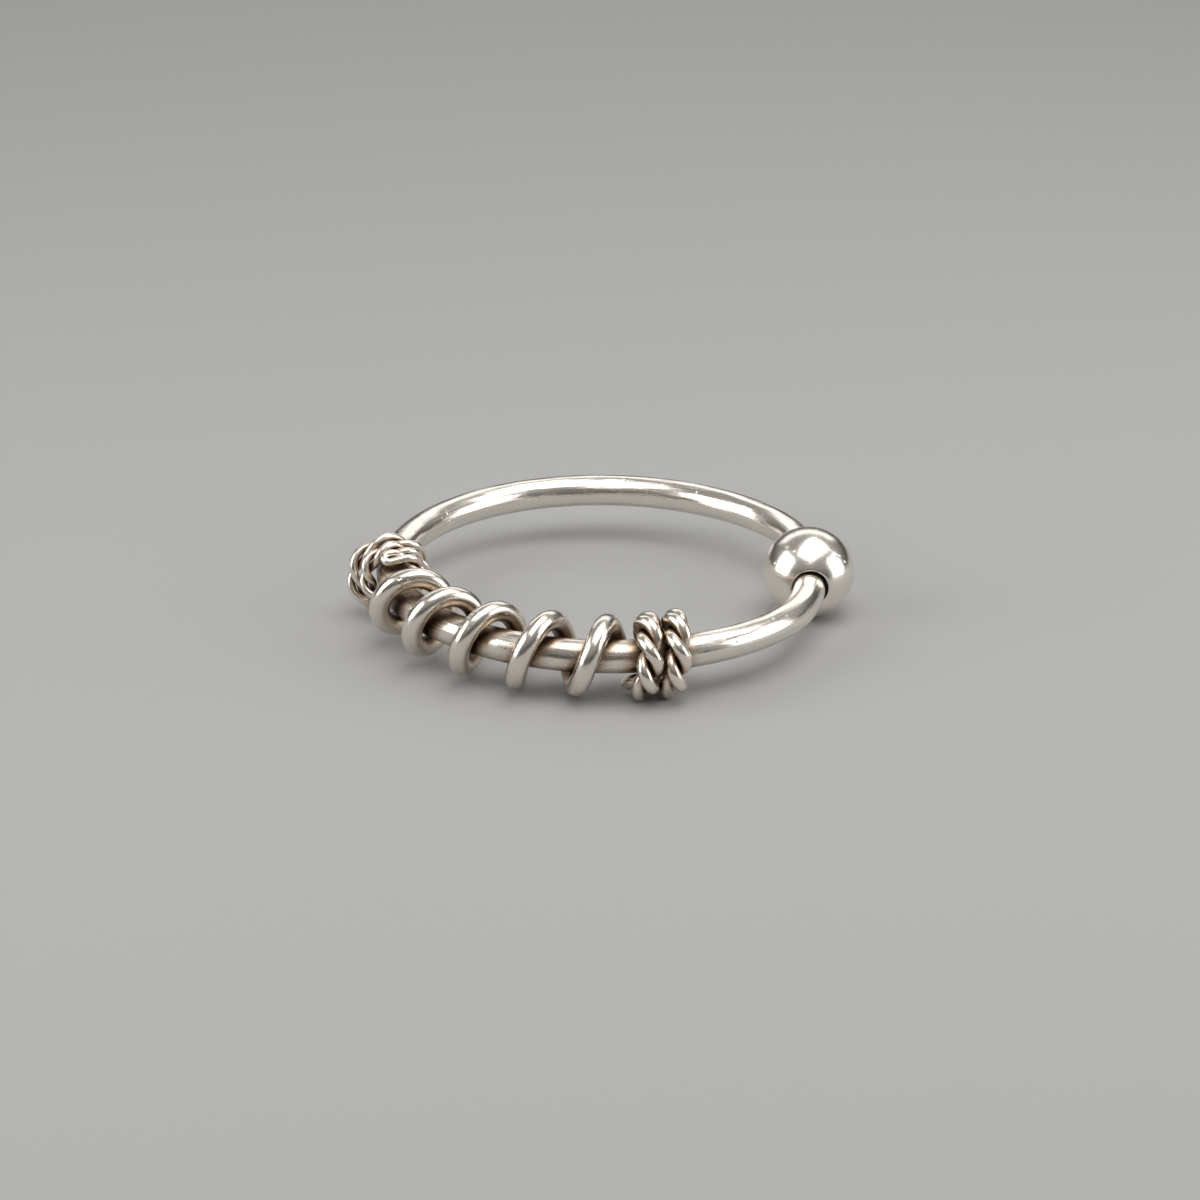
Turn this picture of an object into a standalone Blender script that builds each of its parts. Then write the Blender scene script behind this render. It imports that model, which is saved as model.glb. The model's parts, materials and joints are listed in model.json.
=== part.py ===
# Nose ring: a round wire hoop closed by one bead, with a loose coil of wire round its
# front and a binding of twisted wire at each end of the coil.
# Units are metres and +Z is up. Every piece is laid out in the hoop's own plane, with the
# bead on +X, and the finished ring is then tipped as a whole, so that it lies on the
# ground as it comes to rest there, on the bead and the two bindings.

from math import asin, atan2, cos, pi, radians, sin, sqrt

import bmesh
import bpy
from mathutils import Matrix, Vector
from mathutils.geometry import intersect_point_tri_2d

MM = 0.001

# Hoop: round wire, pulled in towards the middle where it runs into the bead
HOOP_INSIDE_DIAMETER = 9.8 * MM
HOOP_WIRE_DIAMETER = 0.8 * MM
HOOP_FLAT_HALF_ANGLE = radians(35)
HOOP_END_GAP = 0.5 * MM  # between the two wire ends, inside the bead

# Bead: a plain ball with a straight bore, free to turn on the hoop's ends
BEAD_DIAMETER = 2.27 * MM
BORE_CLEARANCE = 0.05 * MM  # all round the wire
BORE_BEND = 0.02 * MM  # how far the wire still bends to each side of the bore's axis
BORE_EDGE = 0.03 * MM

# Coil: one open left-handed winding that hangs loosely on the hoop
COIL_WIRE_DIAMETER = 0.5 * MM
COIL_PLAY = 0.1 * MM  # between the hoop and the inside of the coil
COIL_LIFT = 0.03 * MM
COIL_PITCH = 1.41 * MM
COIL_FIRST_TOP = radians(-151.4)  # where the first turn crosses the top of the hoop
COIL_START = -0.55  # in turns from that first top
COIL_END = 4.3

# Right binding: two strands twisted together and wound tightly round the hoop
RIGHT_STRAND_DIAMETER = 0.32 * MM
RIGHT_PLAY = 0.02 * MM  # between the hoop and the strands
RIGHT_FROM_COIL = 0.04 * MM  # along the hoop, from the end of the coil
RIGHT_START = radians(-110)
RIGHT_END = radians(580)
RIGHT_TWISTS_PER_TURN = 3.5
RIGHT_TWIST_START = radians(-75)  # where strand a lies outermost
RIGHT_LEAN = radians(0.6)

# Left binding: one thinner wire, folded in half, twisted and wound the other way, tight
# at its fold and loose at its far end, where it hangs down
LEFT_WIRE_DIAMETER = 0.2 * MM
LEFT_FROM_COIL = 0.52 * MM  # along the hoop, from the start of the coil to the folded end
LEFT_START = radians(80)  # of the fold, just outside the top of the hoop
LEFT_END = radians(900)
LEFT_TURN_GAP = 0.03 * MM
LEFT_TIGHT_PLAY = 0.03 * MM  # between the hoop and the strands
LEFT_LOOSE_PLAY = 0.24 * MM
LEFT_TIGHT_RUN = radians(260)  # how far from the fold it stays tight
LEFT_LOOSENING = radians(330)  # how far it winds on from there before it is fully loose
LEFT_SAG = 0.17 * MM  # how far the loose end hangs down
LEFT_SWAY = 0.1 * MM  # and how far it leans outward
LEFT_TWISTS_PER_TURN = 3.5
LEFT_TWIST_PHASE = radians(-60)
EYE_OPENING = 1.2  # spread of the fold, as a share of the twist's own spread
EYE_RUN = radians(45)  # length over which the twist runs out towards the fold
EYE_SEAT = 0.12 * MM  # between the hoop and the fold that lies over it

STRAND_GAP = 0.02 * MM  # between two strands, and between two turns, that lie together
WIRE_END_ROUNDING = 0.25  # share of the wire's radius that is rounded off at a cut end
SHARP_EDGE = radians(40)
TANGENT_STEP = radians(0.5)
SETTLING_ROUNDS = 8

# Facets
HOOP_SIDES = 16
HOOP_STEPS = 96
COIL_SIDES = 12
COIL_STEPS_PER_TURN = 20
STRAND_SIDES = 8
STRAND_STEPS_PER_TURN = 40
EYE_STEPS = 8
BEAD_SIDES = 16
BEAD_ARC_STEPS = 14

# Sizes that follow from those above
HOOP_RADIUS = (HOOP_INSIDE_DIAMETER + HOOP_WIRE_DIAMETER) / 2
HOOP_WIRE_RADIUS = HOOP_WIRE_DIAMETER / 2
BEAD_RADIUS = BEAD_DIAMETER / 2
BORE_RADIUS = HOOP_WIRE_RADIUS + BORE_CLEARANCE
BORE_HALF_LENGTH = sqrt(BEAD_RADIUS ** 2 - BORE_RADIUS ** 2)
COIL_REACH = HOOP_WIRE_RADIUS + COIL_PLAY + COIL_WIRE_DIAMETER / 2

SILVER = (0.83, 0.81, 0.78, 1)
SILVER_ROUGHNESS = 0.18
DARK_SILVER = (0.70, 0.67, 0.63, 1)
DARK_SILVER_ROUGHNESS = 0.3


def clear_scene():
    for item in list(bpy.data.objects):
        bpy.data.objects.remove(item, do_unlink=True)


def metal(name, colour, roughness):
    material = bpy.data.materials.new(name)
    material.use_nodes = True
    shader = material.node_tree.nodes["Principled BSDF"]
    shader.inputs["Base Color"].default_value = colour
    shader.inputs["Metallic"].default_value = 1
    shader.inputs["Roughness"].default_value = roughness
    return material


def flat_share(along):
    """Share of the flat's full depth that the hoop has at an angle from the bead."""
    from_bead = abs(atan2(sin(along), cos(along)))
    return cos(pi / 2 * min(from_bead / HOOP_FLAT_HALF_ANGLE, 1)) ** 2


def flat_depth():
    """How far the hoop is pulled in at the bead, for its wire to pass the straight bore."""
    end = asin(HOOP_END_GAP / 2 / HOOP_RADIUS)
    mouth = asin(BORE_HALF_LENGTH / HOOP_RADIUS)
    bend_of_circle = HOOP_RADIUS * (cos(end) - cos(mouth))
    bend_of_flat = flat_share(end) * cos(end) - flat_share(mouth) * cos(mouth)
    return max(bend_of_circle - 2 * BORE_BEND, 0) / bend_of_flat


def hoop_radius(along):
    """Distance from the ring's middle to the middle of the hoop's wire."""
    return HOOP_RADIUS - flat_depth() * flat_share(along)


def beside_hoop(around, along, reach, lift=0, sway=0):
    """Point at a reach from the wire's middle: around 0 is outward, a quarter turn is up."""
    radius = hoop_radius(along) + reach * cos(around) + sway
    return Vector((radius * cos(along), radius * sin(along), reach * sin(around) + lift))


def angle_beside_bead(offset):
    """Angle along the hoop at which its wire is an offset to the side of the bead's middle."""
    along = offset / HOOP_RADIUS
    for _ in range(SETTLING_ROUNDS):
        along = asin(offset / hoop_radius(along))
    return along


def tube(name, points, diameter, sides, material):
    """Closed round wire along points, with its two cut ends slightly rounded."""
    radius = diameter / 2
    bevel = WIRE_END_ROUNDING * radius
    first = (points[1] - points[0]).normalized()
    last = (points[-1] - points[-2]).normalized()
    centres = [points[0], points[0] + first * bevel, *points[1:-1]]
    centres += [points[-1] - last * bevel, points[-1]]
    radii = [radius - bevel, *[radius] * (len(centres) - 2), radius - bevel]
    across = first.orthogonal().normalized()
    mesh = bmesh.new()
    rings = []
    for index, (centre, ring_radius) in enumerate(zip(centres, radii)):
        before = centres[max(index - 1, 0)]
        after = centres[min(index + 1, len(centres) - 1)]
        forward = (after - before).normalized()
        across = (across - forward * across.dot(forward)).normalized()
        side = forward.cross(across)
        ring = []
        for corner in range(sides):
            turn = 2 * pi * corner / sides
            offset = across * cos(turn) + side * sin(turn)
            ring.append(mesh.verts.new(centre + offset * ring_radius))
        rings.append(ring)
    for ring, following in zip(rings, rings[1:]):
        join_rings(mesh, ring, following)
    mesh.faces.new(reversed(rings[0]))
    mesh.faces.new(rings[-1])
    return finish(name, mesh, material)


def join_rings(mesh, ring, following):
    for corner in range(len(ring)):
        beyond = (corner + 1) % len(ring)
        mesh.faces.new((ring[corner], ring[beyond], following[beyond], following[corner]))


def finish(name, mesh, material):
    bmesh.ops.recalc_face_normals(mesh, faces=mesh.faces)
    data = bpy.data.meshes.new(name)
    mesh.to_mesh(data)
    mesh.free()
    data.shade_smooth()
    data.set_sharp_from_angle(angle=SHARP_EDGE)
    data.materials.append(material)
    piece = bpy.data.objects.new(name, data)
    bpy.context.scene.collection.objects.link(piece)
    return piece


def build_hoop(material):
    end = angle_beside_bead(HOOP_END_GAP / 2)
    points = []
    for step in range(HOOP_STEPS + 1):
        along = end + (2 * pi - 2 * end) * step / HOOP_STEPS
        points.append(beside_hoop(0, along, 0))
    return tube("hoop", points, HOOP_WIRE_DIAMETER, HOOP_SIDES, material)


def bead_middle():
    """Middle of the bore: half way between the wire's places at the mouth and at its end."""
    mouth = beside_hoop(0, angle_beside_bead(BORE_HALF_LENGTH), 0)
    end = beside_hoop(0, angle_beside_bead(HOOP_END_GAP / 2), 0)
    return Vector(((mouth.x + end.x) / 2, 0, 0))


def build_bead(material):
    """Ball turned about the bore, whose axis is Y."""
    rim = asin((BORE_RADIUS + BORE_EDGE) / BEAD_RADIUS)
    profile = []
    for step in range(BEAD_ARC_STEPS + 1):
        turn = rim + (pi - 2 * rim) * step / BEAD_ARC_STEPS
        profile.append((BEAD_RADIUS * sin(turn), BEAD_RADIUS * cos(turn)))
    inner_end = BEAD_RADIUS * cos(rim) - BORE_EDGE
    profile += [(BORE_RADIUS, -inner_end), (BORE_RADIUS, inner_end)]
    mesh = bmesh.new()
    rings = []
    for corner in range(BEAD_SIDES):
        turn = 2 * pi * corner / BEAD_SIDES
        ring = []
        for reach, y in profile:
            ring.append(mesh.verts.new((reach * cos(turn), y, reach * sin(turn))))
        rings.append(ring)
    for ring, following in zip(rings, rings[1:] + rings[:1]):
        join_rings(mesh, ring, following)
    bead = finish("bead", mesh, material)
    bead.location = bead_middle()
    return bead


def coil_along(turns):
    """Angle along the hoop after some turns of the coil, counted from its first top."""
    return COIL_FIRST_TOP + COIL_PITCH * turns / HOOP_RADIUS


def build_coil(material):
    steps = round((COIL_END - COIL_START) * COIL_STEPS_PER_TURN)
    points = []
    for step in range(steps + 1):
        turns = COIL_START + (COIL_END - COIL_START) * step / steps
        around = pi / 2 + 2 * pi * turns
        points.append(beside_hoop(around, coil_along(turns), COIL_REACH, COIL_LIFT))
    return tube("coil", points, COIL_WIRE_DIAMETER, COIL_SIDES, material)


def twisted_pair(path, around, spread, twist):
    """The two strand middles of a twisted pair whose own middle follows path(around)."""
    middle, hoop_middle = path(around)
    forward = (path(around + TANGENT_STEP)[0] - path(around - TANGENT_STEP)[0]).normalized()
    outward = middle - hoop_middle
    outward = (outward - forward * outward.dot(forward)).normalized()
    sideways = forward.cross(outward)
    offset = (outward * cos(twist) + sideways * sin(twist)) * spread
    return middle + offset, middle - offset


def eased(share):
    """Runs smoothly from 0 to 1 as share does, and stays there."""
    share = min(max(share, 0), 1)
    return share * share * (3 - 2 * share)


def pair_spread(wire_diameter):
    """Distance from the middle of a twisted pair to the middle of each of its strands."""
    return (wire_diameter + STRAND_GAP) / 2


def pair_width(wire_diameter):
    return 2 * pair_spread(wire_diameter) + wire_diameter


def right_path(around):
    """Middle of the right pair, whose turns lie side by side, close to the coil's end."""
    reach = HOOP_WIRE_RADIUS + RIGHT_PLAY + pair_width(RIGHT_STRAND_DIAMETER) / 2
    pitch = pair_width(RIGHT_STRAND_DIAMETER) + STRAND_GAP
    half_length = pitch * (RIGHT_END - RIGHT_START) / (4 * pi)
    from_coil = COIL_WIRE_DIAMETER / 2 + RIGHT_FROM_COIL + half_length
    middle_along = coil_along(COIL_END) + from_coil / HOOP_RADIUS
    run = pitch * (around - (RIGHT_START + RIGHT_END) / 2) / (2 * pi)
    along = middle_along + run / (HOOP_RADIUS + reach * cos(around)) - RIGHT_LEAN * sin(around)
    return beside_hoop(around, along, reach), beside_hoop(around, along, 0)


def build_right_binding(material):
    wire = RIGHT_STRAND_DIAMETER
    steps = round((RIGHT_END - RIGHT_START) / (2 * pi) * STRAND_STEPS_PER_TURN)
    strands = {"right_binding_strand_a": [], "right_binding_strand_b": []}
    for step in range(steps + 1):
        around = RIGHT_START + (RIGHT_END - RIGHT_START) * step / steps
        twist = -RIGHT_TWISTS_PER_TURN * (around - RIGHT_TWIST_START)
        middles = twisted_pair(right_path, around, pair_spread(wire), twist)
        for points, middle in zip(strands.values(), middles):
            points.append(middle)
    return [tube(name, points, wire, STRAND_SIDES, material) for name, points in strands.items()]


def left_path(around):
    """Middle of the left pair, which comes down onto the hoop where it ends in its fold."""
    from_fold = around - LEFT_START
    width = pair_width(LEFT_WIRE_DIAMETER)
    looseness = eased((from_fold - LEFT_TIGHT_RUN) / LEFT_LOOSENING)
    play = LEFT_TIGHT_PLAY + (LEFT_LOOSE_PLAY - LEFT_TIGHT_PLAY) * looseness
    pair_reach = HOOP_WIRE_RADIUS + play + width / 2
    fold_reach = HOOP_WIRE_RADIUS + EYE_SEAT + LEFT_WIRE_DIAMETER / 2
    reach = fold_reach + (pair_reach - fold_reach) * eased(from_fold / EYE_RUN)
    from_coil = COIL_WIRE_DIAMETER / 2 + LEFT_FROM_COIL + width / 2
    fold_along = coil_along(COIL_START) - from_coil / HOOP_RADIUS
    run = (width + LEFT_TURN_GAP) * from_fold / (2 * pi)
    along = fold_along - run / (HOOP_RADIUS + reach * cos(around))
    middle = beside_hoop(around, along, reach, -LEFT_SAG * looseness, LEFT_SWAY * looseness)
    return middle, beside_hoop(around, along, 0)


def build_left_binding(material):
    """One wire: out along one strand, round the fold that leaves the eye, back along the other."""
    steps = round((LEFT_END - LEFT_START) / (2 * pi) * STRAND_STEPS_PER_TURN)
    outbound = []
    inbound = []
    for step in range(steps + 1):
        around = LEFT_START + (LEFT_END - LEFT_START) * step / steps
        from_fold = around - LEFT_START
        if from_fold < EYE_RUN:
            twist_run = from_fold ** 2 / (2 * EYE_RUN)
            opening = 1 + (EYE_OPENING - 1) * (1 - eased(from_fold / EYE_RUN))
        else:
            twist_run = from_fold - EYE_RUN / 2
            opening = 1
        twist = LEFT_TWIST_PHASE - LEFT_TWISTS_PER_TURN * twist_run
        spread = pair_spread(LEFT_WIRE_DIAMETER) * opening
        first, second = twisted_pair(left_path, around, spread, twist)
        outbound.append(first)
        inbound.append(second)
    fold_middle = (outbound[0] + inbound[0]) / 2
    arm = outbound[0] - fold_middle
    outward = left_path(LEFT_START)[0] - left_path(LEFT_START + TANGENT_STEP)[0]
    tip = outward.normalized() * arm.length
    fold = []
    for step in range(1, EYE_STEPS):
        turn = pi * step / EYE_STEPS
        fold.append(fold_middle + arm * cos(turn) + tip * sin(turn))
    points = outbound[::-1] + fold + inbound
    return tube("left_binding", points, LEFT_WIRE_DIAMETER, STRAND_SIDES, material)


def balance_point(pieces):
    """Centre of gravity of solid pieces that are all of one metal."""
    volume = 0
    moment = Vector()
    for piece in pieces:
        corners = [piece.matrix_basis @ vertex.co for vertex in piece.data.vertices]
        piece.data.calc_loop_triangles()
        for triangle in piece.data.loop_triangles:
            first, second, third = [corners[index] for index in triangle.vertices]
            wedge = first.dot(second.cross(third)) / 6
            volume += wedge
            moment += wedge * (first + second + third) / 4
    return moment / volume


def resting_matrix(pieces):
    """Tips the ring onto the face of its hull that lies under its balance point."""
    balance = balance_point(pieces)
    hull = bmesh.new()
    for piece in pieces:
        for vertex in piece.data.vertices:
            hull.verts.new(piece.matrix_basis @ vertex.co)
    bmesh.ops.convex_hull(hull, input=hull.verts)
    bmesh.ops.recalc_face_normals(hull, faces=hull.faces)
    for face in hull.faces:
        corners = [vertex.co.to_2d() for vertex in face.verts]
        if face.normal.z < 0 and intersect_point_tri_2d(balance.to_2d(), *corners):
            tip = face.normal.rotation_difference(Vector((0, 0, -1))).to_matrix().to_4x4()
    height = min((tip @ vertex.co).z for vertex in hull.verts)
    hull.free()
    return Matrix.Translation((0, 0, -height)) @ tip


def build_ring():
    clear_scene()
    polished = metal("polished silver", SILVER, SILVER_ROUGHNESS)
    darkened = metal("darkened silver", DARK_SILVER, DARK_SILVER_ROUGHNESS)
    hoop = build_hoop(polished)
    bead = build_bead(polished)
    coil = build_coil(polished)
    right_strands = build_right_binding(darkened)
    left_binding = build_left_binding(darkened)
    pieces = (hoop, bead, coil, *right_strands, left_binding)
    ring = bpy.data.objects.new("ring", None)
    bpy.context.scene.collection.objects.link(ring)
    ring.empty_display_size = HOOP_RADIUS
    for piece in pieces:
        piece.parent = ring
    bpy.context.view_layer.update()
    ring.matrix_world = resting_matrix(pieces)


build_ring()
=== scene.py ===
import json
from math import asin, atan2, cos, pi, radians, sin, sqrt

import bmesh
import bpy
import numpy as np
from mathutils import Matrix, Vector


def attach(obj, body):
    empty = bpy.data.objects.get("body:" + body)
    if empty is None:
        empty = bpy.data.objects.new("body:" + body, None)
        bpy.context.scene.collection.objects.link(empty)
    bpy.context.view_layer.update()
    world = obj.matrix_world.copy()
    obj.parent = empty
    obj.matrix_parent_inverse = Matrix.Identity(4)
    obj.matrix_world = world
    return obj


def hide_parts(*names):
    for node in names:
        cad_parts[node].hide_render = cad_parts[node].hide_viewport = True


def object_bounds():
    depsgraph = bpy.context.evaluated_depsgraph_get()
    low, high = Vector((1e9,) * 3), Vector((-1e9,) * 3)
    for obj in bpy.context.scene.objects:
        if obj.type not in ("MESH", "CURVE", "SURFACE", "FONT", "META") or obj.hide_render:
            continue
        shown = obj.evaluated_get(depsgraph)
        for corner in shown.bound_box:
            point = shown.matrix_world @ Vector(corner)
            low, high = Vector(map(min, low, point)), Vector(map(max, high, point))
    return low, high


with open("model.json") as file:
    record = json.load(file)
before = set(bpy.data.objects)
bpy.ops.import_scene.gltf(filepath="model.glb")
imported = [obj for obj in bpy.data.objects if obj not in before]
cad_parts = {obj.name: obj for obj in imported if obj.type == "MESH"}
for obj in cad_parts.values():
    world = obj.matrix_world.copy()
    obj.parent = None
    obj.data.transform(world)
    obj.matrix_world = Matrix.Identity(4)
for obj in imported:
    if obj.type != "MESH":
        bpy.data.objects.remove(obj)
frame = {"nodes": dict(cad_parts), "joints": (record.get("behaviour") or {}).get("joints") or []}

# A nose ring in silver: hoop, bead, a loose coil and two twisted bindings.
# Lengths in the dictionaries are in millimetres and angles in degrees.
mm = 0.001
cadLow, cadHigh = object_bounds()
print("frame loaded:", ", ".join(sorted(frame["nodes"])))


def findHoopPlane():
    # the hoop's own frame: its middle, +X to the bead, +Z across its plane
    spin = next(joint for joint in frame["joints"] if joint["name"] == "bead_spin")
    corners = np.array([corner.co for corner in frame["nodes"]["hoop"].data.vertices])
    middle = corners.mean(axis=0)
    up = Vector(np.linalg.svd(corners - middle, full_matrices=False)[2][2])
    if up.z < 0:
        up = -up
    toBead = Vector(spin["axis"]).cross(up).normalized()
    back = up.cross(toBead)
    height = up.dot(Vector(middle)) / up.z
    turn = Matrix((toBead, back, up)).transposed().to_4x4()
    return Matrix.Translation((0, 0, height)) @ turn


hoopPlane = findHoopPlane()

hoop = {
    "insideDiameter": 9.8,
    "wireDiameter": 0.8,
    "flatHalfAngle": 35,
    "endGap": 0.5,
    "sides": 48,
    "steps": 640,
}
bead = {
    "diameter": 2.27,
    "boreClearance": 0.05,
    "boreBend": 0.02,
    "boreEdge": 0.03,
    "sides": 96,
    "arcSteps": 72,
    "edgeSteps": 5,
}
hoopRadius = (hoop["insideDiameter"] + hoop["wireDiameter"]) / 2
hoopWireRadius = hoop["wireDiameter"] / 2
beadRadius = bead["diameter"] / 2
boreRadius = hoopWireRadius + bead["boreClearance"]


def flatShare(along):
    fromBead = abs(atan2(sin(along), cos(along)))
    return cos(pi / 2 * min(fromBead / radians(hoop["flatHalfAngle"]), 1)) ** 2


def flatDepth():
    # how far the hoop is pulled in at the bead, so that it passes the straight bore
    end = asin(hoop["endGap"] / 2 / hoopRadius)
    mouth = asin(sqrt(beadRadius ** 2 - boreRadius ** 2) / hoopRadius)
    bendOfCircle = hoopRadius * (cos(end) - cos(mouth))
    bendOfFlat = flatShare(end) * cos(end) - flatShare(mouth) * cos(mouth)
    return max(bendOfCircle - 2 * bead["boreBend"], 0) / bendOfFlat


pulledIn = flatDepth()


def besideHoop(around, along, reach, lift=0, sway=0):
    # around 0 is outward from the hoop's wire, a quarter turn is up
    radius = hoopRadius - pulledIn * flatShare(along) + reach * cos(around) + sway
    return Vector((radius * cos(along), radius * sin(along), reach * sin(around) + lift))


# Round wire: a closed tube that keeps two things for its finish at each corner, its place
# along and across the wire, and how closely it lies tucked against its neighbours.

wireEnds = {
    "rounding": 0.3,  # of the wire's radius
    "steps": 4,
    "clearOf": 1.3,  # roundings kept free of the wire's own rings
}
sharpEdge = 35
wiresMade = {}


def drawWire(name, centres, diameter, sides, ownGap=0):
    # ownGap: how many rings apart two places of one wire count as neighbours, 0 for never
    radius = diameter / 2
    rounding = radius * wireEnds["rounding"]
    first = (centres[1] - centres[0]).normalized()
    last = (centres[-1] - centres[-2]).normalized()
    head = []
    tail = []
    for step in range(wireEnds["steps"]):
        turn = pi / 2 * step / wireEnds["steps"]
        inset = rounding * (1 - sin(turn))
        drop = rounding * (1 - cos(turn))
        head.append((centres[0] + first * drop, radius - inset))
        tail.append((centres[-1] - last * drop, radius - inset))
    body = [(centres[0] + first * rounding, radius)]
    for centre in centres:
        if min((centre - centres[0]).length, (centre - centres[-1]).length) > rounding * wireEnds["clearOf"]:
            body.append((centre, radius))
    body.append((centres[-1] - last * rounding, radius))
    stations = head + body + tail[::-1]
    across = first.orthogonal().normalized()
    length = 0
    mesh = bmesh.new()
    place = mesh.verts.layers.float_vector.new("wirePlace")
    rings = []
    for index, (centre, ringRadius) in enumerate(stations):
        before = stations[max(index - 1, 0)][0]
        after = stations[min(index + 1, len(stations) - 1)][0]
        forward = (after - before).normalized()
        across = (across - forward * across.dot(forward)).normalized()
        side = forward.cross(across)
        length += (centre - before).length
        ring = []
        for corner in range(sides):
            turn = 2 * pi * corner / sides
            vert = mesh.verts.new(centre + (across * cos(turn) + side * sin(turn)) * ringRadius)
            vert[place] = (length, radius * cos(turn), radius * sin(turn))
            ring.append(vert)
        rings.append(ring)
    for ring, following in zip(rings, rings[1:]):
        for corner in range(sides):
            beyond = (corner + 1) % sides
            mesh.faces.new((ring[corner], ring[beyond], following[beyond], following[corner]))
    mesh.faces.new(reversed(rings[0]))
    mesh.faces.new(rings[-1])
    wiresMade[name] = {
        "centres": np.array([centre for centre, _ in stations]),
        "radius": radius,
        "sides": sides,
        "ownGap": ownGap,
    }
    return settle(name, mesh)


def settle(name, mesh):
    # closes the mesh, lays it from the hoop's plane into the scene and trims it to the CAD's box
    bmesh.ops.recalc_face_normals(mesh, faces=mesh.faces)
    data = bpy.data.meshes.new(name)
    mesh.to_mesh(data)
    mesh.free()
    data.transform(hoopPlane @ Matrix.Scale(mm, 4))
    for corner in data.vertices:
        corner.co = np.clip(corner.co, cadLow, cadHigh)
    data.shade_smooth()
    data.set_sharp_from_angle(angle=radians(sharpEdge))
    piece = bpy.data.objects.new(name, data)
    bpy.context.scene.collection.objects.link(piece)
    return piece


def drawHoop():
    end = asin(hoop["endGap"] / 2 / (hoopRadius - pulledIn))
    centres = []
    for step in range(hoop["steps"] + 1):
        along = end + (2 * pi - 2 * end) * step / hoop["steps"]
        centres.append(besideHoop(0, along, 0))
    return drawWire("hoop_wire", centres, hoop["wireDiameter"], hoop["sides"])


def drawBead():
    # a ball turned about its bore, with a softened edge at each mouth
    spin = next(joint for joint in frame["joints"] if joint["name"] == "bead_spin")
    middle = hoopPlane.inverted() @ Vector(spin["pos_m"]) / mm
    edge = bead["boreEdge"]
    rim = asin((boreRadius + edge) / beadRadius)
    profile = []
    for step in range(bead["arcSteps"] + 1):
        turn = rim + (pi - 2 * rim) * step / bead["arcSteps"]
        profile.append((beadRadius * sin(turn), beadRadius * cos(turn)))
    mouth = beadRadius * cos(rim)
    for step in range(1, bead["edgeSteps"] + 1):
        turn = pi / 2 * step / bead["edgeSteps"]
        profile.append((boreRadius + edge * (1 - sin(turn)), -mouth + edge * (1 - cos(turn))))
    for step in range(bead["edgeSteps"], 0, -1):
        turn = pi / 2 * step / bead["edgeSteps"]
        profile.append((boreRadius + edge * (1 - sin(turn)), mouth - edge * (1 - cos(turn))))
    mesh = bmesh.new()
    place = mesh.verts.layers.float_vector.new("wirePlace")
    rings = []
    for corner in range(bead["sides"]):
        turn = 2 * pi * corner / bead["sides"]
        ring = []
        for reach, y in profile:
            spot = Vector((reach * cos(turn), y, reach * sin(turn)))
            vert = mesh.verts.new(middle + spot)
            vert[place] = spot
            ring.append(vert)
        rings.append(ring)
    for ring, following in zip(rings, rings[1:] + rings[:1]):
        for index in range(len(profile)):
            beyond = (index + 1) % len(profile)
            mesh.faces.new((ring[index], ring[beyond], following[beyond], following[index]))
    return settle("polished_bead", mesh)


# The coil: five open left-handed turns that hang loosely on the hoop

coil = {
    "wireDiameter": 0.5,
    "play": 0.1,
    "lift": 0.03,
    "pitch": 1.41,
    "firstTop": -151.4,
    "start": -0.55,
    "end": 4.3,
    "sides": 32,
    "stepsPerTurn": 72,
}


def coilAlong(turns):
    return radians(coil["firstTop"]) + coil["pitch"] * turns / hoopRadius


def drawCoil():
    span = coil["end"] - coil["start"]
    steps = round(span * coil["stepsPerTurn"])
    reach = hoopWireRadius + coil["play"] + coil["wireDiameter"] / 2
    centres = []
    for step in range(steps + 1):
        turns = coil["start"] + span * step / steps
        around = pi / 2 + 2 * pi * turns
        centres.append(besideHoop(around, coilAlong(turns), reach, coil["lift"]))
    return drawWire("coil_wire", centres, coil["wireDiameter"], coil["sides"])


# The bindings: pairs of thin strands twisted together and wound round the hoop

strandGap = 0.02
tangentStep = 0.5

rightBinding = {
    "strandDiameter": 0.32,
    "play": 0.02,
    "fromCoil": 0.04,
    "start": -110,
    "end": 580,
    "twistsPerTurn": 3.5,
    "twistStart": -75,
    "lean": 0.6,
    "sides": 24,
    "stepsPerTurn": 150,
    "ownGap": 60,
}
leftBinding = {
    "wireDiameter": 0.2,
    "fromCoil": 0.52,
    "start": 80,
    "end": 900,
    "turnGap": 0.03,
    "tightPlay": 0.03,
    "loosePlay": 0.24,
    "tightRun": 260,
    "loosening": 330,
    "sag": 0.17,
    "sway": 0.1,
    "twistsPerTurn": 3.5,
    "twistPhase": -60,
    "eyeOpening": 1.2,
    "eyeRun": 45,
    "eyeSeat": 0.12,
    "eyeSteps": 20,
    "sides": 20,
    "stepsPerTurn": 150,
    "ownGap": 60,
}


def eased(share):
    share = min(max(share, 0), 1)
    return share * share * (3 - 2 * share)


def pairSpread(wireDiameter):
    return (wireDiameter + strandGap) / 2


def pairWidth(wireDiameter):
    return 2 * pairSpread(wireDiameter) + wireDiameter


def twistedPair(path, around, spread, twist):
    middle, hoopMiddle = path(around)
    step = radians(tangentStep)
    forward = (path(around + step)[0] - path(around - step)[0]).normalized()
    outward = middle - hoopMiddle
    outward = (outward - forward * outward.dot(forward)).normalized()
    sideways = forward.cross(outward)
    offset = (outward * cos(twist) + sideways * sin(twist)) * spread
    return middle + offset, middle - offset


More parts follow.
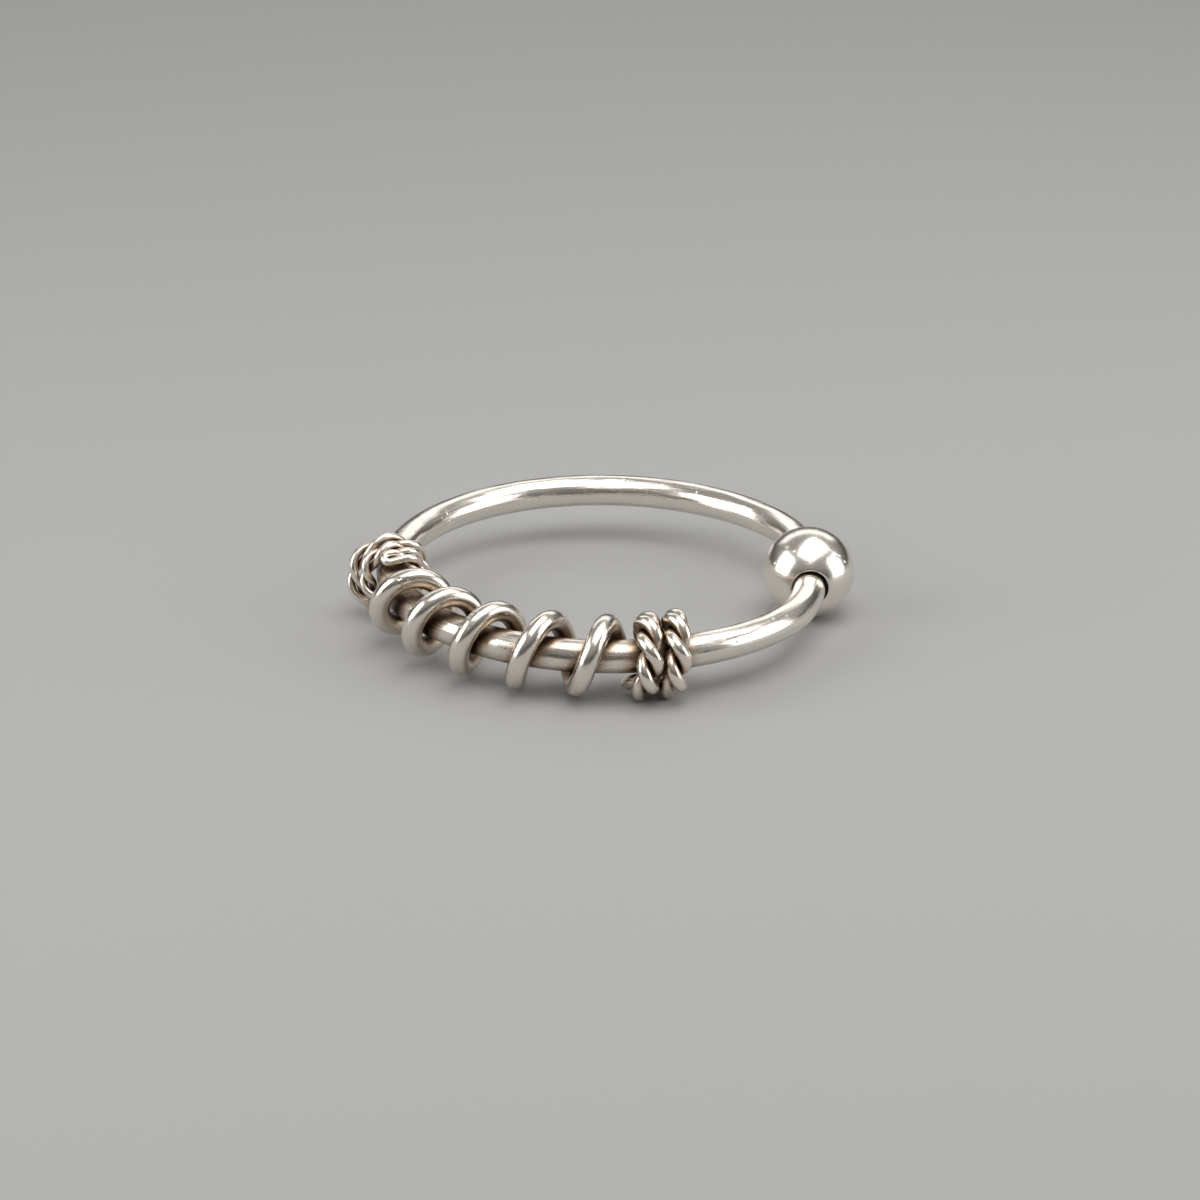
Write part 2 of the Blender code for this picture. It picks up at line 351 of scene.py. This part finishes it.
def rightPath(around):
    sizes = rightBinding
    width = pairWidth(sizes["strandDiameter"])
    reach = hoopWireRadius + sizes["play"] + width / 2
    pitch = width + strandGap
    halfLength = pitch * radians(sizes["end"] - sizes["start"]) / (4 * pi)
    fromCoil = coil["wireDiameter"] / 2 + sizes["fromCoil"] + halfLength
    middleAlong = coilAlong(coil["end"]) + fromCoil / hoopRadius
    run = pitch * (around - radians(sizes["start"] + sizes["end"]) / 2) / (2 * pi)
    along = middleAlong + run / (hoopRadius + reach * cos(around))
    along -= radians(sizes["lean"]) * sin(around)
    return besideHoop(around, along, reach), besideHoop(around, along, 0)


def drawRightBinding():
    sizes = rightBinding
    start = radians(sizes["start"])
    span = radians(sizes["end"]) - start
    steps = round(span / (2 * pi) * sizes["stepsPerTurn"])
    strands = {"right_strand_a": [], "right_strand_b": []}
    for step in range(steps + 1):
        around = start + span * step / steps
        twist = -sizes["twistsPerTurn"] * (around - radians(sizes["twistStart"]))
        middles = twistedPair(rightPath, around, pairSpread(sizes["strandDiameter"]), twist)
        for centres, middle in zip(strands.values(), middles):
            centres.append(middle)
    return [
        drawWire(name, centres, sizes["strandDiameter"], sizes["sides"], sizes["ownGap"])
        for name, centres in strands.items()
    ]


def leftPath(around):
    sizes = leftBinding
    fromFold = around - radians(sizes["start"])
    width = pairWidth(sizes["wireDiameter"])
    looseness = eased((fromFold - radians(sizes["tightRun"])) / radians(sizes["loosening"]))
    play = sizes["tightPlay"] + (sizes["loosePlay"] - sizes["tightPlay"]) * looseness
    pairReach = hoopWireRadius + play + width / 2
    foldReach = hoopWireRadius + sizes["eyeSeat"] + sizes["wireDiameter"] / 2
    reach = foldReach + (pairReach - foldReach) * eased(fromFold / radians(sizes["eyeRun"]))
    fromCoil = coil["wireDiameter"] / 2 + sizes["fromCoil"] + width / 2
    foldAlong = coilAlong(coil["start"]) - fromCoil / hoopRadius
    run = (width + sizes["turnGap"]) * fromFold / (2 * pi)
    along = foldAlong - run / (hoopRadius + reach * cos(around))
    middle = besideHoop(around, along, reach, -sizes["sag"] * looseness, sizes["sway"] * looseness)
    return middle, besideHoop(around, along, 0)


def drawLeftBinding():
    # one wire: out along one strand, round the small eye at its fold, back along the other
    sizes = leftBinding
    start = radians(sizes["start"])
    span = radians(sizes["end"]) - start
    eyeRun = radians(sizes["eyeRun"])
    steps = round(span / (2 * pi) * sizes["stepsPerTurn"])
    outbound = []
    inbound = []
    for step in range(steps + 1):
        fromFold = span * step / steps
        if fromFold < eyeRun:
            twistRun = fromFold ** 2 / (2 * eyeRun)
            opening = 1 + (sizes["eyeOpening"] - 1) * (1 - eased(fromFold / eyeRun))
        else:
            twistRun = fromFold - eyeRun / 2
            opening = 1
        twist = radians(sizes["twistPhase"]) - sizes["twistsPerTurn"] * twistRun
        spread = pairSpread(sizes["wireDiameter"]) * opening
        first, second = twistedPair(leftPath, start + fromFold, spread, twist)
        outbound.append(first)
        inbound.append(second)
    foldMiddle = (outbound[0] + inbound[0]) / 2
    arm = outbound[0] - foldMiddle
    outward = leftPath(start)[0] - leftPath(start + radians(tangentStep))[0]
    tip = outward.normalized() * arm.length
    fold = []
    for step in range(1, sizes["eyeSteps"]):
        turn = pi * step / sizes["eyeSteps"]
        fold.append(foldMiddle + arm * cos(turn) + tip * sin(turn))
    centres = outbound[::-1] + fold + inbound
    return drawWire("left_wire", centres, sizes["wireDiameter"], sizes["sides"], sizes["ownGap"])


hoopWire = drawHoop()
polishedBead = drawBead()
coilWire = drawCoil()
rightStrandA, rightStrandB = drawRightBinding()
leftWire = drawLeftBinding()
print("wire drawn")

for piece, node, body, slot in (
    (hoopWire, "hoop", "ring", "polished_silver"),
    (polishedBead, "bead", "bead", "polished_silver"),
    (coilWire, "coil", "ring", "polished_silver"),
    (rightStrandA, "right_binding_strand_a", "ring", "darkened_silver"),
    (rightStrandB, "right_binding_strand_b", "ring", "darkened_silver"),
    (leftWire, "left_binding", "ring", "darkened_silver"),
):
    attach(piece, body)
    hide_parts(node)


# Tarnish gathers where wires lie close together, so each corner keeps its nearness to the
# next wire, from 1 where they touch to 0 out in the open.

nearness = {
    "hoopFade": 0.19,
    "coilFade": 0.17,
    "rightFade": 0.075,
    "leftFade": 0.055,
    "beadFade": 0.035,
    "batch": 4000,
}


def keepNearness(piece, fade):
    corners = np.empty(len(piece.data.vertices) * 3)
    piece.data.vertices.foreach_get("co", corners)
    intoPlane = np.array(hoopPlane.inverted())
    corners = (corners.reshape(-1, 3) @ intoPlane[:3, :3].T + intoPlane[:3, 3]) / mm
    closest = np.full(len(corners), np.inf)
    for name, wire in wiresMade.items():
        own = name == piece.name
        if own and not wire["ownGap"]:
            continue
        for first in range(0, len(corners), nearness["batch"]):
            batch = corners[first:first + nearness["batch"]]
            apart = np.linalg.norm(batch[:, None, :] - wire["centres"][None, :, :], axis=2)
            if own:
                station = (first + np.arange(len(batch))) // wire["sides"]
                stations = np.arange(len(wire["centres"]))
                apart[np.abs(station[:, None] - stations[None, :]) < wire["ownGap"]] = np.inf
            nearest = apart.min(axis=1) - wire["radius"]
            closest[first:first + len(batch)] = np.minimum(closest[first:first + len(batch)], nearest)
    values = np.exp(-np.maximum(closest, 0) / fade)
    piece.data.attributes.new("tucked", "FLOAT", "POINT").data.foreach_set("value", values)


keepNearness(hoopWire, nearness["hoopFade"])
keepNearness(coilWire, nearness["coilFade"])
keepNearness(rightStrandA, nearness["rightFade"])
keepNearness(rightStrandB, nearness["rightFade"])
keepNearness(leftWire, nearness["leftFade"])
keepNearness(polishedBead, nearness["beadFade"])
print("nearness kept")


# One worn-silver effect for all the metal: streaks along the wire, fine rubs, pits and tarnish

wear = {
    # repeats in a millimetre, along the wire and then across it
    "streaks": {"repeats": (0.8, 22, 22), "detail": 3},
    "rubs": {"repeats": (5, 46, 46), "detail": 2, "slant": 0.6},
    "waves": {"repeats": (0.8, 2.4, 2.4), "detail": 1},
    "blotches": {"repeats": (2.2, 3.0, 3.0), "detail": 5},
    "grain": {"repeats": (24, 30, 30), "detail": 3},
    "fineShare": 0.55,
    "pitRepeats": 5.5,
    "pitEdge": (0.26, 0.08),
    "pittedBlotches": (0.50, 0.62),
    # what makes up the tarnish, and how much of it counts as thin and as thick
    "blotchTarnish": 1.1,
    "evenTarnish": 0.30,
    "grainTarnish": 0.75,
    "pitTarnish": 0.25,
    "thin": (0.12, 0.70),
    "thick": (0.45, 1.15),
    # what each adds to the roughness
    "streakEdge": (0.35, 0.75),
    "rubEdge": (0.55, 0.8),
    "streakRoughness": 0.16,
    "rubRoughness": 0.16,
    "tarnishRoughness": 0.12,
    # what each adds to the height of the waves
    "streakHeight": 0.12,
    "rubHeight": 0.06,
    "grainHeight": 0.10,
    "pitHeight": 0.35,
}
nodeRows = {"rows": 6, "across": 220, "down": 260}


def addNode(tree, kind, place=(0, 0), **settings):
    node = tree.nodes.new(kind)
    node.location = place
    for name, value in settings.items():
        setattr(node, name, value)
    return node


def buildWornSilver():
    group = bpy.data.node_groups.new("wornSilver", "ShaderNodeTree")
    face = group.interface
    face.new_socket("Place", in_out="INPUT", socket_type="NodeSocketVector")
    for name, start in (
        ("Tucked", 0.0), ("Streaks", 0.5), ("Rubs", 0.5), ("Pits", 0.5),
        ("Waviness", 0.5), ("Tarnish", 0.5), ("Polish", 0.12),
    ):
        face.new_socket(name, in_out="INPUT", socket_type="NodeSocketFloat").default_value = start
    for name, start in (
        ("Clean", (0.90, 0.85, 0.775, 1)),
        ("Straw", (0.60, 0.46, 0.34, 1)),
        ("Dark", (0.13, 0.085, 0.055, 1)),
    ):
        face.new_socket(name, in_out="INPUT", socket_type="NodeSocketColor").default_value = start
    face.new_socket("Color", in_out="OUTPUT", socket_type="NodeSocketColor")
    face.new_socket("Roughness", in_out="OUTPUT", socket_type="NodeSocketFloat")
    face.new_socket("Height", in_out="OUTPUT", socket_type="NodeSocketFloat")
    given = addNode(group, "NodeGroupInput")

    def join(source, target):
        group.links.new(source, target)

    def noise(name):
        mapping = addNode(group, "ShaderNodeMapping", label=name)
        mapping.inputs["Scale"].default_value = wear[name]["repeats"]
        mapping.inputs["Rotation"].default_value = (0, 0, wear[name].get("slant", 0))
        join(given.outputs["Place"], mapping.inputs["Vector"])
        texture = addNode(group, "ShaderNodeTexNoise", label=name)
        texture.inputs["Scale"].default_value = 1
        texture.inputs["Detail"].default_value = wear[name]["detail"]
        texture.inputs["Roughness"].default_value = wear["fineShare"]
        join(mapping.outputs["Vector"], texture.inputs["Vector"])
        return texture.outputs["Fac"]

    def spread(source, edge):
        # 0 to 1 between the two values of an edge
        node = addNode(group, "ShaderNodeMapRange", clamp=True)
        node.inputs["From Min"].default_value, node.inputs["From Max"].default_value = wear[edge]
        join(source, node.inputs["Value"])
        return node.outputs["Result"]

    def calc(operation, first, second):
        node = addNode(group, "ShaderNodeMath", operation=operation)
        for value, socket in ((first, node.inputs[0]), (second, node.inputs[1])):
            if isinstance(value, (int, float)):
                socket.default_value = value
            else:
                join(value, socket)
        return node.outputs["Value"]

    def tint(share, under, over):
        node = addNode(group, "ShaderNodeMix", data_type="RGBA")
        join(share, node.inputs["Factor"])
        join(under, node.inputs["A"])
        join(over, node.inputs["B"])
        return node.outputs["Result"]

    streaks = noise("streaks")
    rubs = noise("rubs")
    waves = noise("waves")
    blotches = noise("blotches")
    grain = noise("grain")
    specks = addNode(group, "ShaderNodeTexVoronoi", label="pits")
    specks.inputs["Scale"].default_value = wear["pitRepeats"]
    join(given.outputs["Place"], specks.inputs["Vector"])
    pits = spread(specks.outputs["Distance"], "pitEdge")
    pits = calc("MULTIPLY", pits, spread(blotches, "pittedBlotches"))
    pits = calc("MULTIPLY", pits, given.outputs["Pits"])

    # tarnish: thickest where wires touch, thin and grainy beside them
    patchy = calc("ADD", calc("MULTIPLY", blotches, wear["blotchTarnish"]), wear["evenTarnish"])
    patchy = calc("ADD", patchy, calc("MULTIPLY", grain, wear["grainTarnish"]))
    cover = calc("MULTIPLY", patchy, given.outputs["Tucked"])
    cover = calc("MULTIPLY", cover, given.outputs["Tarnish"])
    cover = calc("ADD", cover, calc("MULTIPLY", pits, wear["pitTarnish"]))
    thin = spread(cover, "thin")
    thick = spread(cover, "thick")
    straw = tint(thin, given.outputs["Clean"], given.outputs["Straw"])
    color = tint(thick, straw, given.outputs["Dark"])

    # roughness: polished, duller along streaks and rubs and where the tarnish lies
    rough = calc("MULTIPLY", spread(streaks, "streakEdge"), wear["streakRoughness"])
    rough = calc("MULTIPLY", rough, given.outputs["Streaks"])
    rough = calc("ADD", rough, given.outputs["Polish"])
    rubbed = calc("MULTIPLY", spread(rubs, "rubEdge"), wear["rubRoughness"])
    rubbed = calc("MULTIPLY", rubbed, given.outputs["Rubs"])
    rough = calc("ADD", rough, rubbed)
    rough = calc("ADD", rough, calc("MULTIPLY", thin, wear["tarnishRoughness"]))

    # height: long waves, fine lines, scratches, grain in the tarnish and small pits
    height = calc("MULTIPLY", waves, given.outputs["Waviness"])
    lines = calc("MULTIPLY", streaks, given.outputs["Streaks"])
    height = calc("ADD", height, calc("MULTIPLY", lines, wear["streakHeight"]))
    scratches = calc("MULTIPLY", rubs, given.outputs["Rubs"])
    height = calc("ADD", height, calc("MULTIPLY", scratches, wear["rubHeight"]))
    gritty = calc("MULTIPLY", grain, thin)
    height = calc("ADD", height, calc("MULTIPLY", gritty, wear["grainHeight"]))
    height = calc("SUBTRACT", height, calc("MULTIPLY", pits, wear["pitHeight"]))

    result = addNode(group, "NodeGroupOutput")
    join(color, result.inputs["Color"])
    join(rough, result.inputs["Roughness"])
    join(height, result.inputs["Height"])
    for index, node in enumerate(group.nodes):
        column, row = divmod(index, nodeRows["rows"])
        node.location = (column * nodeRows["across"], -row * nodeRows["down"])
    return group


wornSilver = buildWornSilver()

hoopFinish = {
    "relief": 0.045, "Streaks": 0.9, "Rubs": 0.5, "Pits": 0.4, "Waviness": 0.8,
    "Tarnish": 1.8, "Polish": 0.15,
}
beadFinish = {
    "relief": 0.03, "Streaks": 0.0, "Rubs": 0.6, "Pits": 1.3, "Waviness": 0.16,
    "Tarnish": 1.1, "Polish": 0.22,
}
coilFinish = {
    "relief": 0.04, "Streaks": 0.6, "Rubs": 0.6, "Pits": 0.9, "Waviness": 1.0,
    "Tarnish": 1.8, "Polish": 0.19, "Clean": (0.85, 0.79, 0.71, 1),
}
bindingFinish = {
    "relief": 0.02, "Streaks": 0.6, "Rubs": 0.4, "Pits": 0.5, "Waviness": 0.7,
    "Tarnish": 1.7, "Polish": 0.20, "Clean": (0.90, 0.83, 0.74, 1), "Dark": (0.19, 0.12, 0.078, 1),
}


def silver(name, finish):
    material = bpy.data.materials.new(name)
    material.use_nodes = True
    tree = material.node_tree
    shader = tree.nodes["Principled BSDF"]
    shader.inputs["Metallic"].default_value = 1
    place = addNode(tree, "ShaderNodeAttribute", (-900, 200), attribute_name="wirePlace")
    tucked = addNode(tree, "ShaderNodeAttribute", (-900, -50), attribute_name="tucked")
    worn = addNode(tree, "ShaderNodeGroup", (-600, 100), node_tree=wornSilver)
    relief = addNode(tree, "ShaderNodeBump", (-250, -150))
    relief.inputs["Strength"].default_value = 1
    relief.inputs["Distance"].default_value = finish["relief"] * mm
    tree.links.new(place.outputs["Vector"], worn.inputs["Place"])
    tree.links.new(tucked.outputs["Fac"], worn.inputs["Tucked"])
    for socket, value in finish.items():
        if socket != "relief":
            worn.inputs[socket].default_value = value
    tree.links.new(worn.outputs["Color"], shader.inputs["Base Color"])
    tree.links.new(worn.outputs["Roughness"], shader.inputs["Roughness"])
    tree.links.new(worn.outputs["Height"], relief.inputs["Height"])
    tree.links.new(relief.outputs["Normal"], shader.inputs["Normal"])
    return material


for name, finish, pieces in (
    ("hoop silver", hoopFinish, [hoopWire]),
    ("bead silver", beadFinish, [polishedBead]),
    ("coil silver", coilFinish, [coilWire]),
    ("binding silver", bindingFinish, [rightStrandA, rightStrandB, leftWire]),
):
    material = silver(name, finish)
    for piece in pieces:
        piece.data.materials.clear()
        piece.data.materials.append(material)
print("silver finished")


# Floor, lights and camera

studio = {
    "floorSize": 700,
    "floorColor": (0.41, 0.407, 0.40, 1),
    "floorRoughness": 0.9,
    "floorGloss": 0.1,
    "surround": (1.0, 0.985, 0.96, 1),
    "horizonHeight": 0.05,  # from 0 level with the floor to 1 overhead
    "horizonBrightness": 0.05,
    "skyHeight": 0.6,
    "skyBrightness": 0.28,
}
lamps = {
    "overhead": {"from": (14, -10, 80), "size": (104, 68), "brightness": 2.1},
    "back": {"from": (0, 90, 62), "size": (150, 45), "brightness": 1.05},
    "left": {"from": (-85, -22, 42), "size": (72, 76), "brightness": 2.9},
    "right": {"from": (88, -14, 30), "size": (60, 66), "brightness": 2.6},
}
shot = {
    "distance": 103.05,
    "elevation": 23.34,
    "roll": 0.73,
    "aimRight": -0.14,
    "aimUp": -0.83,
    "focalPixels": 4130.8,
    "framePixels": 1200,
    "sensorWidth": 36,
    "nearest": 1,
}


def layFloor():
    half = studio["floorSize"] * mm / 2
    data = bpy.data.meshes.new("floor")
    corners = [(-half, -half, 0), (half, -half, 0), (half, half, 0), (-half, half, 0)]
    data.from_pydata(corners, [], [(0, 1, 2, 3)])
    floor = bpy.data.objects.new("floor", data)
    bpy.context.scene.collection.objects.link(floor)
    paint = bpy.data.materials.new("pale floor")
    paint.use_nodes = True
    shader = paint.node_tree.nodes["Principled BSDF"]
    shader.inputs["Base Color"].default_value = studio["floorColor"]
    shader.inputs["Roughness"].default_value = studio["floorRoughness"]
    shader.inputs["Specular IOR Level"].default_value = studio["floorGloss"]
    data.materials.append(paint)


def hangLamp(name, settings):
    # a broad soft lamp aimed at the ring, with power to match its area
    light = bpy.data.lights.new(name, "AREA")
    light.shape = "RECTANGLE"
    light.size = settings["size"][0] * mm
    light.size_y = settings["size"][1] * mm
    light.energy = settings["brightness"] * pi * light.size * light.size_y
    lamp = bpy.data.objects.new(name, light)
    lamp.location = Vector(settings["from"]) * mm
    lamp.rotation_euler = (-lamp.location).to_track_quat("-Z", "Y").to_euler()
    bpy.context.scene.collection.objects.link(lamp)


def fillSurround():
    # soft grey all round, dim at the level of the floor and brighter overhead
    world = bpy.data.worlds.new("studio surround")
    world.use_nodes = True
    tree = world.node_tree
    background = tree.nodes["Background"]
    background.inputs["Color"].default_value = studio["surround"]
    place = addNode(tree, "ShaderNodeTexCoord", (-800, 0))
    split = addNode(tree, "ShaderNodeSeparateXYZ", (-600, 0))
    rise = addNode(tree, "ShaderNodeMapRange", (-400, 0), interpolation_type="SMOOTHSTEP")
    rise.inputs["From Min"].default_value = studio["horizonHeight"]
    rise.inputs["From Max"].default_value = studio["skyHeight"]
    rise.inputs["To Min"].default_value = studio["horizonBrightness"]
    rise.inputs["To Max"].default_value = studio["skyBrightness"]
    tree.links.new(place.outputs["Generated"], split.inputs["Vector"])
    tree.links.new(split.outputs["Z"], rise.inputs["Value"])
    tree.links.new(rise.outputs["Result"], background.inputs["Strength"])
    bpy.context.scene.world = world


def setCamera():
    lift = radians(shot["elevation"])
    roll = radians(shot["roll"])
    back = Vector((0, -cos(lift), sin(lift)))
    right = Vector((1, 0, 0))
    up = back.cross(right)
    rolledRight = right * cos(roll) + up * sin(roll)
    rolledUp = up * cos(roll) - right * sin(roll)
    place = right * shot["aimRight"] + Vector((0, 0, shot["aimUp"])) + back * shot["distance"]
    turn = Matrix((rolledRight, rolledUp, back)).transposed().to_4x4()
    lens = bpy.data.cameras.new("camera")
    lens.sensor_width = shot["sensorWidth"]
    lens.lens = shot["focalPixels"] * lens.sensor_width / shot["framePixels"]
    lens.clip_start = shot["nearest"] * mm
    camera = bpy.data.objects.new("camera", lens)
    camera.matrix_world = hoopPlane @ Matrix.Translation(place * mm) @ turn
    bpy.context.scene.collection.objects.link(camera)
    bpy.context.scene.camera = camera


layFloor()
for name, settings in lamps.items():
    hangLamp(name, settings)
fillSurround()
setCamera()
bpy.context.scene.view_settings.view_transform = "Standard"
print("studio set")
